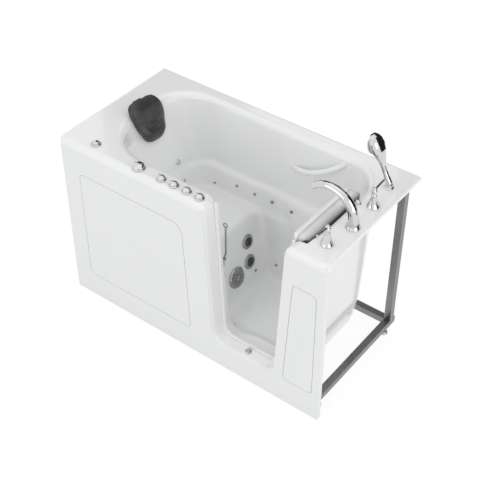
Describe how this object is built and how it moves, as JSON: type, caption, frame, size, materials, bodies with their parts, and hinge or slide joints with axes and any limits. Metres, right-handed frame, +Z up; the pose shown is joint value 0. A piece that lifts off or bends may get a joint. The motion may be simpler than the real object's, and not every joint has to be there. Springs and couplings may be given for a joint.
{
  "type": "walk-in bathtub",
  "caption": "Tall seated bathtub with an inward-swinging side door, moulded seat, deck-mounted taps and hand shower, water jets, headrest and grab bar on a stainless frame.",
  "frame": {"origin": "on the floor at the middle of the footprint", "axes": "+X along the bath towards the tap end, +Y from the door side to the wall side, +Z up"},
  "size_m": [1.524, 0.762, 1.2159],
  "materials": {
    "acrylic": "glossy white acrylic",
    "apron": "glossy white moulded panel",
    "seal": "soft grey seal",
    "chrome": "polished chrome",
    "stainless": "brushed stainless tube",
    "steel": "plain stainless",
    "brass": "cast brass",
    "rubber": "matte rubber",
    "pillow": "soft dark grey foam skin",
    "foam": "rigid foam",
    "board": "plywood",
    "pipe": "white pipe",
    "dark": "dark moulded plastic",
    "face": "pale spray face",
    "white": "glossy white rail",
    "bush": "bearing plastic",
    "magnet": "coated magnet"
  },
  "bodies": {
    "tub": {"tub_shell": "acrylic", "front_apron": "apron", "left_access_panel": "apron", "right_access_panel": "apron", "panel_magnets": "magnet", "door_landing_lip": "acrylic", "door_seal": "seal", "sill_strike": "chrome", "hinge_brackets": "steel", "latch_bracket": "chrome", "side_rails": "stainless", "cross_rails": "stainless", "frame_posts": "stainless", "footwell_board": "board", "deck_pads": "rubber", "foot_nuts": "steel", "levelling_feet": "steel", "spout_base": "chrome", "spout": "chrome", "tap_bells": "chrome", "tap_bodies": "brass", "mixing_pipes": "brass", "shower_cradle": "chrome", "deck_bezels": "chrome", "deck_control_bodies": "dark", "grab_bar": "white", "jet_rings": "chrome", "jet_bodies": "pipe", "back_jets": "chrome", "air_jets": "chrome", "suction_fitting": "chrome", "drain_and_overflow": "chrome", "waste_pipes": "dark", "equipment_tray": "stainless", "pump_motor": "dark", "pump_wet_end": "dark", "water_lines": "pipe", "air_blower": "dark", "control_box": "dark"},
    "door": {"door_outer_skin": "acrylic", "door_inner_skin": "acrylic", "door_core": "foam", "door_keeper": "steel", "hinge_bushes": "bush"},
    "latch": {"latch_lever": "chrome"},
    "hot_tap": {"hot_lever": "chrome"},
    "cold_tap": {"cold_lever": "chrome"},
    "handset": {"shower_handset": "chrome", "spray_face": "face"},
    "headrest": {"headrest_pillow": "pillow"},
    "drain_twist": {"drain_knob": "chrome"},
    "stopper": {"drain_stopper": "chrome"},
    "selector": {"jet_selector": "chrome"},
    "air_dial_1": {"air_knob_1": "chrome"},
    "air_dial_2": {"air_knob_2": "chrome"},
    "air_dial_3": {"air_knob_3": "chrome"},
    "air_dial_4": {"air_knob_4": "chrome"},
    "button": {"push_button": "chrome"},
    "lower_jet": {"lower_jet_nozzle": "chrome"},
    "upper_jet": {"upper_jet_nozzle": "chrome"}
  },
  "joints": [
    {"name": "door_swing", "type": "hinge", "parent": "tub", "child": "door", "pos_m": [0.53525, -0.27525, 0.55], "axis": [0, 0, 1], "range_deg": [0, 90]},
    {"name": "latch_turn", "type": "hinge", "parent": "tub", "child": "latch", "pos_m": [0.082, -0.205, 0.517], "axis": [0, 1, 0], "range_deg": [0, 90]},
    {"name": "hot_turn", "type": "hinge", "parent": "tub", "child": "hot_tap", "pos_m": [0.679, -0.263, 1.025], "axis": [0, 0, 1], "range_deg": [0, 90]},
    {"name": "cold_turn", "type": "hinge", "parent": "tub", "child": "cold_tap", "pos_m": [0.699, 0.06699, 1.025], "axis": [0, 0, 1], "range_deg": [-90, 0]},
    {"name": "handset_lift", "type": "slide", "parent": "tub", "child": "handset", "axis": [0, 0, 1], "range_m": [0, 0.3]},
    {"name": "headrest_lift", "type": "slide", "parent": "tub", "child": "headrest", "axis": [0.9222, 0, 0.3867], "range_m": [0, 0.15]},
    {"name": "drain_turn", "type": "hinge", "parent": "tub", "child": "drain_twist", "pos_m": [0.636, 0.04499, 0.971], "axis": [0, 0, 1], "range_deg": [0, 90]},
    {"name": "stopper_lift", "type": "slide", "parent": "tub", "child": "stopper", "axis": [0, 0, 1], "range_m": [0, 0.0124]},
    {"name": "selector_turn", "type": "hinge", "parent": "tub", "child": "selector", "pos_m": [-0.29914, -0.34, 0.971], "axis": [0, 0, 1], "range_deg": [-120, 120]},
    {"name": "button_press", "type": "slide", "parent": "tub", "child": "button", "axis": [0, 0, -1], "range_m": [0, 0.003], "stiffness_N_per_m": 600},
    {"name": "air_dial_1_turn", "type": "hinge", "parent": "tub", "child": "air_dial_1", "pos_m": [-0.1608, -0.343, 0.971], "axis": [0, 0, 1], "range_deg": [0, 180]},
    {"name": "air_dial_2_turn", "type": "hinge", "parent": "tub", "child": "air_dial_2", "pos_m": [-0.0872, -0.343, 0.971], "axis": [0, 0, 1], "range_deg": [0, 180]},
    {"name": "air_dial_3_turn", "type": "hinge", "parent": "tub", "child": "air_dial_3", "pos_m": [-0.0136, -0.343, 0.971], "axis": [0, 0, 1], "range_deg": [0, 180]},
    {"name": "air_dial_4_turn", "type": "hinge", "parent": "tub", "child": "air_dial_4", "pos_m": [0.06, -0.343, 0.971], "axis": [0, 0, 1], "range_deg": [0, 180]},
    {"name": "lower_jet_turn", "type": "hinge", "parent": "tub", "child": "lower_jet", "pos_m": [0.00741, 0.09499, 0.246], "axis": [0.9734, 0, 0.229], "range_deg": [-45, 45]},
    {"name": "upper_jet_turn", "type": "hinge", "parent": "tub", "child": "upper_jet", "pos_m": [-0.01847, 0.111, 0.356], "axis": [0.9734, 0, 0.229], "range_deg": [-45, 45]}
  ],
  "couplings": [
    {"joint": "drain_turn", "follows": "stopper_lift", "rad_per_m": 126.55}
  ]
}
